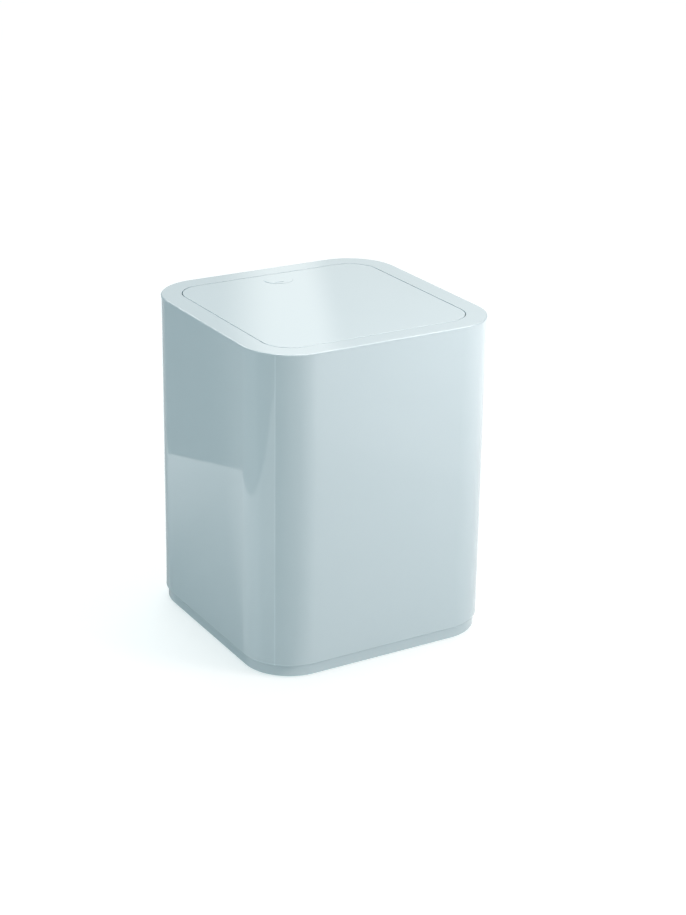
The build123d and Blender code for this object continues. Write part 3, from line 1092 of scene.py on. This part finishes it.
@dataclass
class BaseTray:
    """The base tray: plinth, floor, upstand, the ring round the bucket's foot, ribs and pad bosses."""

    half: float = 98.25
    corner: float = 37.75
    foot: float = 0.8
    shoulder: float = 9.8
    foot_radius: float = 1.2
    shoulder_radius: float = 0.3
    wall: float = 2.5
    floor: float = 3.0
    upstand_half: float = 96.6
    upstand_corner: float = 36.1
    upstand_wall: float = 2.0
    upstand_height: float = 12.0
    upstand_lead_in: float = 0.8
    ring_half: float = 86.5
    ring_corner: float = 28.5
    ring_wall: float = 2.0
    ring_height: float = 4.0
    edge_radius: float = 0.3
    rib_thickness: float = 2.0
    rib_depth: float = 4.0
    rib_spacing: float = 45.0
    pad_place: float = 70.0
    pad_pocket_radius: float = 7.1
    pad_pocket_top: float = 3.0
    pad_boss_wall: float = 2.5

    def build(self, material: bpy.types.Material) -> bpy.types.Object:
        """Makes the tray and puts it in the place of its solid.

        Args:
            material: Its finish.

        Returns:
            The piece.
        """
        work = self.moulding()
        work.combine(self.ribs(), Join.ADD)
        work.combine(self.pad_rods(self.pad_pocket_radius + self.pad_boss_wall,
                                   self.shoulder - self.floor + OVERLAP), Join.ADD)
        work.combine(self.pad_rods(self.pad_pocket_radius, self.pad_pocket_top, CUT_PAST), Join.CUT)
        piece = work.finished("tray_moulding", material)
        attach(piece, "base")
        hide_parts("base_tray")
        return piece

    def moulding(self) -> Workpiece:
        """Makes the plinth, the floor, the upstand and the ring round the bucket's foot.

        Returns:
            The moulding, before anything is joined to it.
        """
        shoulder = Ring(self.half, self.corner, self.shoulder)
        outer_foot = shoulder.raised(self.foot)
        inner_foot = outer_foot.drawn_in(self.wall)
        underside = inner_foot.raised(self.shoulder - self.floor)
        upstand_root = Ring(self.upstand_half, self.upstand_corner, self.shoulder)
        upstand_edge = upstand_root.raised(self.shoulder + self.upstand_height)
        upstand_inner_edge = upstand_edge.drawn_in(self.upstand_wall)
        upstand_inner_root = upstand_inner_edge.raised(self.shoulder)
        ring_root = Ring(self.ring_half, self.ring_corner, self.shoulder)
        ring_edge = ring_root.raised(self.shoulder + self.ring_height)
        ring_inner_edge = ring_edge.drawn_in(self.ring_wall)
        ring_inner_root = ring_inner_edge.raised(self.shoulder)
        work = Workpiece()
        work.shell([underside, inner_foot, outer_foot, shoulder, upstand_root, upstand_edge,
                    upstand_inner_edge, upstand_inner_root, ring_root, ring_edge, ring_inner_edge,
                    ring_inner_root], closed=False)
        work.soften(outer_foot, self.foot_radius)
        work.soften(shoulder, self.shoulder_radius, steps=3)
        work.soften(upstand_edge, self.upstand_lead_in, steps=1)
        for ring in (inner_foot, upstand_inner_edge, ring_edge, ring_inner_edge):
            work.soften(ring, self.edge_radius, steps=3)
        return work

    def ribs(self) -> Workpiece:
        """Makes the crossed ribs under the floor.

        Returns:
            The ribs.
        """
        reach = self.half - self.wall + OVERLAP
        top = self.shoulder - self.floor + OVERLAP
        bottom = self.shoulder - self.floor - self.rib_depth
        half_rib = self.rib_thickness / 2
        lengthwise = Workpiece()
        crosswise = Workpiece()
        for step in (-1, 0, 1):
            place = step * self.rib_spacing
            lengthwise.block((-reach, place - half_rib, bottom), (reach, place + half_rib, top))
            crosswise.block((place - half_rib, -reach, bottom), (place + half_rib, reach, top))
        lengthwise.combine(crosswise, Join.ADD)
        return lengthwise

    def pad_rods(self, radius: float, top: float, below: float = 0.0) -> Workpiece:
        """Makes a rod at each foot, from the plinth's lower edge up.

        Args:
            radius: The rods' radius.
            top: The height of their tops.
            below: How far they start below the plinth's lower edge.

        Returns:
            The four rods.
        """
        work = Workpiece()
        for x_sign in (-1, 1):
            for y_sign in (-1, 1):
                work.rod(Axis.ALONG_Z, radius, self.foot - below, top,
                         (x_sign * self.pad_place, y_sign * self.pad_place))
        return work


@dataclass
class SmallParts:
    """The small parts that keep their solids and get their finishes."""

    edge_width: float = 0.12
    sharp_angle: float = radians(50)

    def dress(self) -> None:
        """Gives each small node its finish and breaks its edges."""
        finishes = (
            (MouldedRubber("moulded_rubber_black"),
             ("foot_pad_front_left", "foot_pad_front_right", "foot_pad_back_left", "foot_pad_back_right",
              "stop_sleeve_left", "stop_sleeve_right")),
            (SatinPlastic("acetal_moulded_natural", "#E9E6DC", "#E2DFD4", roughness=0.3,
                          worn_roughness=0.24, texture_size=0.3, texture_depth=0.004, flow_size=8.0),
             ("bearing_bush_left", "bearing_bush_right")),
            (SatinPlastic("abs_spark_textured_grey", "#AEB7BC", "#A6AFB4", flow_size=12.0),
             ("bearing_cap_left", "bearing_cap_right", "weight_cover")),
            (BrightSteel("steel_ground_pin", Grain.TURNED, line_size=0.12),
             ("pivot_pin_left", "pivot_pin_right")),
            (BrightSteel("steel_zinc_plated_screw", Grain.TURNED, colour="#C7CBCC", dull_colour="#A9B0B4",
                         line_size=0.2, line_stretch=12.0, line_depth=0.003, patch_size=3.0),
             ("bearing_cap_screws", "weight_cover_screws")),
            (BrightSteel("steel_cold_drawn_bar", Grain.DRAWN, line_size=0.35, patch_size=14.0),
             ("counterweight",)),
        )
        for finish, names in finishes:
            material = finish.material()
            for name in names:
                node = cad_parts[name]
                node.data.materials.clear()
                node.data.materials.append(material)
                self.break_edges(node)
                log.info("dressed %s in %s", name, material.name)

    def break_edges(self, node: bpy.types.Object) -> None:
        """Rounds a small node's sharp edges a little, as moulding and tumbling leave them.

        Args:
            node: The node.
        """
        edges = node.modifiers.new("broken_edges", "BEVEL")
        edges.limit_method = "ANGLE"
        edges.angle_limit = self.sharp_angle
        edges.width = self.edge_width * METRES
        edges.segments = 2
        edges.use_clamp_overlap = True
        flats = node.modifiers.new("flats_stay_flat", "WEIGHTED_NORMAL")
        flats.keep_sharp = True


@dataclass(frozen=True)
class BroadLight:
    """A far light as wide as a part of the sky, so that it leaves no hard shadow. Angles are in degrees."""

    name: str
    azimuth: float
    elevation: float
    width: float
    strength: float
    mirrored: bool = True

    def hang(self) -> None:
        """Makes the lamp and turns it to the bin."""
        light = bpy.data.lights.new(self.name, "SUN")
        light.angle = radians(self.width)
        light.energy = pi * self.strength
        lamp = bpy.data.objects.new(self.name, light)
        turn = radians(self.azimuth)
        lift = radians(self.elevation)
        towards = Vector((sin(turn) * cos(lift), -cos(turn) * cos(lift), sin(lift)))
        lamp.matrix_world = towards.to_track_quat("Z", "Y").to_matrix().to_4x4()
        lamp.visible_glossy = self.mirrored
        bpy.context.scene.collection.objects.link(lamp)


@dataclass(frozen=True)
class Softbox:
    """A square softbox that faces the bin. Its place and width are in metres and its power in watts."""

    name: str
    place: Point
    width: float
    power: float
    colour: Point
    mirrored: bool = True
    aim: Point = (0.0, 0.0, 0.13)

    def hang(self) -> None:
        """Makes the lamp and turns it to the bin."""
        light = bpy.data.lights.new(self.name, "AREA")
        light.shape = "SQUARE"
        light.size = self.width
        light.energy = self.power
        light.color = self.colour
        lamp = bpy.data.objects.new(self.name, light)
        facing = (Vector(self.aim) - Vector(self.place)).to_track_quat("-Z", "Y")
        lamp.matrix_world = Matrix.Translation(self.place) @ facing.to_matrix().to_4x4()
        lamp.visible_camera = False
        lamp.visible_glossy = self.mirrored
        bpy.context.scene.collection.objects.link(lamp)


def stand(name: str, drawn: bmesh.types.BMesh, material: bpy.types.Material, seen: Seen) -> None:
    """Makes a stage object of a mesh.

    Args:
        name: The object's name.
        drawn: Its mesh in metres, which is used up.
        material: Its finish.
        seen: What shows it.
    """
    sheet = bpy.data.meshes.new(name)
    drawn.to_mesh(sheet)
    drawn.free()
    sheet.materials.append(material)
    made = bpy.data.objects.new(name, sheet)
    bpy.context.scene.collection.objects.link(made)
    made.visible_camera = seen is not Seen.GLOSS
    made.visible_glossy = seen is Seen.GLOSS
    made.visible_diffuse = seen is Seen.ALL_BUT_GLOSS
    made.visible_shadow = seen is Seen.ALL_BUT_GLOSS
    made.visible_transmission = seen is Seen.ALL_BUT_GLOSS
    made.visible_volume_scatter = seen is Seen.ALL_BUT_GLOSS


@dataclass(frozen=True)
class Change:
    """A soft change of brightness on a card, between two places along one of its coordinates."""

    start: float
    end: float
    amount: float

    @classmethod
    def turning(cls, start: float, end: float, amount: float) -> "Change":
        """Gives a change between two azimuths in degrees."""
        return cls(radians(start), radians(end), amount)

    def moved(self, distance: float) -> "Change":
        """Gives the same change further along."""
        return Change(self.start + distance, self.end + distance, self.amount)


def changes(tree: bpy.types.NodeTree, place: Feed, base: float | Feed,
            steps: tuple[Change, ...]) -> bpy.types.Node:
    """Adds soft changes to a base brightness.

    Args:
        tree: The card's node tree.
        place: What gives the coordinate along which it changes.
        base: The brightness before the first change, or what gives it.
        steps: The changes, at least one.

    Returns:
        The node that gives the brightness.
    """
    total = base
    for step in steps:
        soft = add_node(tree, "ShaderNodeMapRange", {"interpolation_type": "SMOOTHSTEP"},
                        {"Value": place, "From Min": step.start, "From Max": step.end, "To Min": 0.0,
                         "To Max": step.amount})
        total = add_node(tree, "ShaderNodeMath", {"operation": "ADD"}, {0: soft, 1: total})
    return total


class MirrorCard:
    """A glowing card that only reflections show, as the black and white cards round a gloss product."""

    def __init__(self, name: str, corners: list[Point]) -> None:
        """Makes the flat card.

        Args:
            name: Its name.
            corners: Its corners in their order, in metres.
        """
        self.material, self.tree, self.place = bare_material(name)
        drawn = bmesh.new()
        bmesh.ops.contextual_create(drawn, geom=[drawn.verts.new(corner) for corner in corners])
        stand(name, drawn, self.material, Seen.GLOSS)

    def azimuth(self, pivot: tuple[float, float]) -> bpy.types.Node:
        """Finds the direction from a point, in radians: 0 to the back, negative to the left.

        Args:
            pivot: The point's X and Y in metres.

        Returns:
            The node that gives the direction.
        """
        moved = add_node(self.tree, "ShaderNodeVectorMath", {"operation": "SUBTRACT"},
                         {0: self.place, 1: (*pivot, 0.0)})
        split = add_node(self.tree, "ShaderNodeSeparateXYZ", inputs={"Vector": moved})
        return add_node(self.tree, "ShaderNodeMath", {"operation": "ARCTAN2"},
                        {0: split.outputs["X"], 1: split.outputs["Y"]})

    def glow(self, brightness: float | Feed, colour: Colour = (1.0, 1.0, 1.0, 1.0)) -> None:
        """Lets the card shine, either evenly or with a node that gives the brightness over it."""
        shine = add_node(self.tree, "ShaderNodeEmission", inputs={"Color": colour, "Strength": brightness})
        add_node(self.tree, "ShaderNodeOutputMaterial", inputs={"Surface": shine})


@dataclass
class PaperSweep:
    """What the walls mirror: a paper sweep, its shaded left part and the dark camera side.

    The sweep runs away from the camera and ends left of the bin, so the left wall mirrors its edge and the
    dark room beyond. The dark camera side starts at the near corner's diagonal.
    """

    height: float = 0.0002
    reach: float = 6.0
    near_corner: tuple[float, float] = (-0.0885, -0.0885)
    far_corner: tuple[float, float] = (-0.1, 0.0605)
    across: Point = (0.8592, -0.5116, 0.0)
    # Painted shadow: the paper glows dimmer beside the bin and brighter further out, as if the bin shaded it.
    near_glow: float = 1.2
    shadow_outward_rise: Change = Change(0.1, 0.8, 0.39)
    border_rise: Change = Change(0.405, 0.42, 0.18)
    front_end: Change = Change.turning(-222, -172, -1.0)
    camera_side_end: Change = Change.turning(-122.3, -121.7, 1.0)
    rear_start: Change = Change.turning(-25, -12, 1.0)
    rear_share: float = 0.3
    left_edge: Change = Change(-0.3895, -0.3835, 1.0)
    shade_glow: float = 0.06
    shade_rises: tuple[Change, ...] = (Change(0.085, 0.3, 0.7), Change(0.28, 0.34, 0.2))
    # Painted light: a soft glow of softbox light on the paper at the left, which fades out towards the back.
    painted_softbox_glow: tuple[Change, ...] = (Change.turning(-122, -110, 0.13), Change.turning(-85, -70, 0.29),
                                Change.turning(-28.5, -24, -0.42))

    def lay(self) -> None:
        """Lays the card and lets it shine."""
        card = MirrorCard("mirrored_paper", [(-self.reach, -self.reach, self.height),
                                             (self.reach, -self.reach, self.height),
                                             (self.reach, self.reach, self.height),
                                             (-self.reach, self.reach, self.height)])
        tree = card.tree
        turn = card.azimuth(self.near_corner)
        sideways = add_node(tree, "ShaderNodeVectorMath", {"operation": "DOT_PRODUCT"},
                            {0: card.place, 1: self.across}).outputs["Value"]
        folded = add_node(tree, "ShaderNodeVectorMath", {"operation": "ABSOLUTE"}, {0: card.place})
        split = add_node(tree, "ShaderNodeSeparateXYZ", inputs={"Vector": folded})
        outward = add_node(tree, "ShaderNodeMath", {"operation": "MAXIMUM"},
                           {0: split.outputs["X"], 1: split.outputs["Y"]})
        past_camera = changes(tree, turn, 0.0, (self.camera_side_end,))
        behind_bin = changes(tree, card.azimuth(self.far_corner), 0.0, (self.rear_start,))
        rear = add_node(tree, "ShaderNodeMath", {"operation": "MULTIPLY"}, {0: past_camera, 1: behind_bin})
        left = add_node(tree, "ShaderNodeMath", {"operation": "SUBTRACT"}, {0: past_camera, 1: rear})
        card.glow(add_node(tree, "ShaderNodeMath", {"operation": "MULTIPLY_ADD"},
                           {0: self.shade(tree, turn, outward, sideways), 1: left,
                            2: self.light(tree, turn, outward, sideways, rear)}))

    def light(self, tree: bpy.types.NodeTree, turn: Feed, outward: Feed, sideways: Feed,
              rear: Feed) -> bpy.types.Node:
        """Finds the brightness of the lit paper, on the right, in front and behind, dimmer beside the bin as
        its painted shadow.

        Args:
            tree: The card's node tree.
            turn: What gives the azimuth round the near corner.
            outward: What gives the distance from the bin's middle, square with its walls.
            sideways: What gives the place across the camera's view.
            rear: What is 1 behind the bin and 0 elsewhere.

        Returns:
            The node that gives the brightness.
        """
        even = changes(tree, outward, self.near_glow, (self.shadow_outward_rise,))
        lit = changes(tree, sideways, even, (self.border_rise,))
        beyond = add_node(tree, "ShaderNodeMath", {"operation": "GREATER_THAN"}, {0: turn, 1: 0.0})
        around = add_node(tree, "ShaderNodeMath", {"operation": "MULTIPLY_ADD"},
                          {0: beyond, 1: radians(-360), 2: turn})
        front = changes(tree, around, 1.0, (self.front_end,))
        rear_light = add_node(tree, "ShaderNodeMath", {"operation": "MULTIPLY"},
                              {0: rear, 1: self.rear_share})
        either = add_node(tree, "ShaderNodeMath", {"operation": "MAXIMUM"}, {0: front, 1: rear_light})
        return add_node(tree, "ShaderNodeMath", {"operation": "MULTIPLY"}, {0: lit, 1: either})

    def shade(self, tree: bpy.types.NodeTree, turn: Feed, outward: Feed, sideways: Feed) -> bpy.types.Node:
        """Finds the brightness of the paper's painted shade on its left part and of the painted softbox glow
        beyond its edge.

        Args:
            tree: The card's node tree.
            turn: What gives the azimuth round the near corner.
            outward: What gives the distance from the bin's middle, square with its walls.
            sideways: What gives the place across the camera's view.

        Returns:
            The node that gives the brightness.
        """
        # Painted shade on the paper's left part, dimmer near the bin, plus a painted glow of softbox light.
        shaded = changes(tree, outward, self.shade_glow, self.shade_rises)
        on_paper = changes(tree, sideways, 0.0, (self.left_edge,))
        return add_node(tree, "ShaderNodeMath", {"operation": "MULTIPLY_ADD"},
                        {0: shaded, 1: on_paper, 2: changes(tree, turn, 0.0, self.painted_softbox_glow)})


@dataclass
class RearWall:
    """What the lid mirrors: a softly edged, slightly leaning bright strip in a paler wall.

    Above what the lid mirrors, the wall is bright, so that the rim's left edge shows a fine light line.
    """

    distance: float = 3.0
    facing: float = 29.5
    left_end: float = -20.0
    right_end: float = 75.0
    lower_edge: float = 2.0
    upper_edge: float = 50.0
    colour: Colour = (1.03, 1.0, 0.96, 1.0)
    low_glow: float = 0.05
    high_band: Change = Change(1.9, 2.3, 4.0)
    strip_start: tuple[Change, ...] = (Change.turning(2, 16, 0.83), Change.turning(25.3, 28.1, 0.75))
    wall_end: Change = Change.turning(38, 52, -0.76)
    strip_end: Change = Change.turning(29.1, 30.7, -0.55)
    strip_lean: float = 0.079
    strip_foot: float = 1.12

    def hang(self) -> None:
        """Hangs the card and lets it shine."""
        corners = []
        for azimuth, elevation in ((self.left_end, self.lower_edge), (self.right_end, self.lower_edge),
                                   (self.right_end, self.upper_edge), (self.left_end, self.upper_edge)):
            turn = radians(azimuth)
            run = self.distance / cos(turn - radians(self.facing))
            corners.append((sin(turn) * run, cos(turn) * run, self.distance * tan(radians(elevation))))
        card = MirrorCard("mirrored_rear_wall", corners)
        turned = card.azimuth((0.0, 0.0))
        split = add_node(card.tree, "ShaderNodeSeparateXYZ", inputs={"Vector": card.place})
        leaning = add_node(card.tree, "ShaderNodeMath", {"operation": "MULTIPLY_ADD"},
                           {0: split.outputs["Z"], 1: -self.strip_lean, 2: turned})
        raised = changes(card.tree, split.outputs["Z"], self.low_glow, (self.high_band,))
        straight = changes(card.tree, turned, raised, (*self.strip_start, self.wall_end))
        strip_end = self.strip_end.moved(-self.strip_lean * self.strip_foot)
        card.glow(changes(card.tree, leaning, straight, (strip_end,)), self.colour)


@dataclass
class CeilingPanel:
    """The bright panel over the bin, which draws a fine light line along its rounded edges."""

    height: float = 3.5
    left: float = -1.0
    right: float = 3.5
    half_depth: float = 2.0
    brightness: float = 7.0

    def hang(self) -> None:
        """Hangs the card and lets it shine evenly."""
        card = MirrorCard("mirrored_ceiling_panel", [(self.left, -self.half_depth, self.height),
                                                     (self.right, -self.half_depth, self.height),
                                                     (self.right, self.half_depth, self.height),
                                                     (self.left, self.half_depth, self.height)])
        card.glow(self.brightness)


@dataclass
class Studio:
    """The pale floor, the backdrop, the lights and what the gloss mirrors, in metres.

    The bin stands on a lit table of translucent white acrylic, which drowns its shadow.
    """

    floor_reach: float = 18.0
    floor_colour: Colour = (0.6, 0.6, 0.6, 1.0)
    floor_glow: float = 0.51
    glow_colour: Colour = (0.91, 1.0, 1.0, 1.0)
    backdrop_reach: float = 20.0
    backdrop_glow: float = 1.1
    sky_brightness: float = 0.03

    def build(self) -> None:
        """Makes the floor, the backdrop, the sky, the lights and the cards."""
        self.floor()
        self.backdrop()
        self.sky()
        BroadLight("overhead_silk", azimuth=0.0, elevation=89.9, width=100.0, strength=0.70).hang()
        BroadLight("rear_silk", azimuth=150.0, elevation=45.0, width=50.0, strength=0.247,
                   mirrored=False).hang()
        Softbox("front_softbox", place=(0.25, -0.42, 0.42), width=0.2, power=1.03,
                colour=(1.22, 1.0, 0.97), mirrored=False).hang()
        Softbox("left_softbox", place=(-0.9, 0.3, 0.8), width=0.6, power=1.0,
                colour=(0.85, 1.0, 1.12)).hang()
        PaperSweep().lay()
        RearWall().hang()
        CeilingPanel().hang()

    def floor(self) -> None:
        """Lays the lit table: even white light through it, and a matt face that scatters the lamps."""
        material, tree, _ = bare_material("acrylic_translucent_white_matt")
        face = add_node(tree, "ShaderNodeBsdfDiffuse", inputs={"Color": self.floor_colour})
        shine = add_node(tree, "ShaderNodeEmission",
                         inputs={"Color": self.glow_colour, "Strength": self.floor_glow})
        both = add_node(tree, "ShaderNodeAddShader", inputs={0: face, 1: shine})
        add_node(tree, "ShaderNodeOutputMaterial", inputs={"Surface": both})
        drawn = bmesh.new()
        bmesh.ops.create_circle(drawn, cap_ends=True, segments=96, radius=self.floor_reach)
        stand("studio_floor", drawn, material, Seen.ALL_BUT_GLOSS)

    def backdrop(self) -> None:
        """Hangs the white backdrop behind everything, which only the camera sees."""
        material, tree, _ = bare_material("paper_white_lit")
        shine = add_node(tree, "ShaderNodeEmission", inputs={"Strength": self.backdrop_glow})
        add_node(tree, "ShaderNodeOutputMaterial", inputs={"Surface": shine})
        drawn = bmesh.new()
        bmesh.ops.create_icosphere(drawn, subdivisions=4, radius=self.backdrop_reach)
        stand("studio_backdrop", drawn, material, Seen.CAMERA)

    def sky(self) -> None:
        """Sets the faint even light that comes from all round the studio."""
        world = bpy.data.worlds.new("studio_sky")
        world.use_nodes = True
        world.node_tree.nodes.clear()
        light = add_node(world.node_tree, "ShaderNodeBackground", inputs={"Strength": self.sky_brightness})
        add_node(world.node_tree, "ShaderNodeOutputWorld", inputs={"Surface": light})
        bpy.context.scene.world = world


@dataclass
class PhotoCamera:
    """The camera where the photograph was taken."""

    place: Point = (-722.89, -1247.86, 700.52)
    target: Point = (14.90, -8.87, 127.43)
    roll: float = 0.849
    lens: float = 79.31
    sensor: float = 36.0

    def build(self) -> None:
        """Makes the camera and gives it to the scene."""
        back = (Vector(self.place) - Vector(self.target)).normalized()
        level_right = Vector((0, 0, 1)).cross(back).normalized()
        level_up = back.cross(level_right)
        turned = radians(self.roll)
        right = level_right * cos(turned) + level_up * sin(turned)
        up = level_up * cos(turned) - level_right * sin(turned)
        lens = bpy.data.cameras.new("photo_camera")
        lens.sensor_width = self.sensor
        lens.lens = self.lens
        lens.clip_start = 0.05
        lens.clip_end = 200.0
        camera = bpy.data.objects.new("photo_camera", lens)
        bpy.context.scene.collection.objects.link(camera)
        turn = Matrix((right, up, back)).transposed().to_4x4()
        camera.matrix_world = Matrix.Translation(Vector(self.place) * METRES) @ turn
        bpy.context.scene.camera = camera


def build_bin() -> None:
    """Builds the bin's pieces in their order and dresses the small parts."""
    # The cover's parting line gets a painted highlight, 1.1 mm wide.
    cover_gloss = GlossAbs("abs_gloss_moulded_cover", "#BFD3D9", "#BCD1D7", parting_highlight_width=1.1)
    # Lid, cover and tray are one ABS. The lid's colour is painted a little lighter as painted light on the top,
    # and the tray's a little darker as painted shade on the plinth.
    lid_gloss_painted_lighter = GlossAbs("abs_gloss_moulded_lid", "#C1D5DB", "#BED3D9")
    tray_gloss_painted_darker = GlossAbs("abs_gloss_moulded_tray", "#BDD1D7", "#BACFD5")
    bucket_satin = SatinPlastic("polypropylene_moulded_bucket", "#B9C2C6", "#B2BCC1")
    pieces = [
        Cover().build(cover_gloss.material()),
        Lid().build(lid_gloss_painted_lighter.material()),
        Bucket().build(bucket_satin.material()),
        BaseTray().build(tray_gloss_painted_darker.material()),
    ]
    for piece in pieces:
        log.info("built %s with %d faces", piece.name, len(piece.data.polygons))
    SmallParts().dress()


def main() -> None:
    """Builds the camera, the pieces in their order and the studio, and logs how many faces each piece has."""
    logging.basicConfig(level=logging.INFO, format="%(name)s: %(message)s")
    PhotoCamera().build()
    bpy.context.scene.view_settings.view_transform = "Standard"
    build_bin()
    Studio().build()


if __name__ == "__main__":
    main()
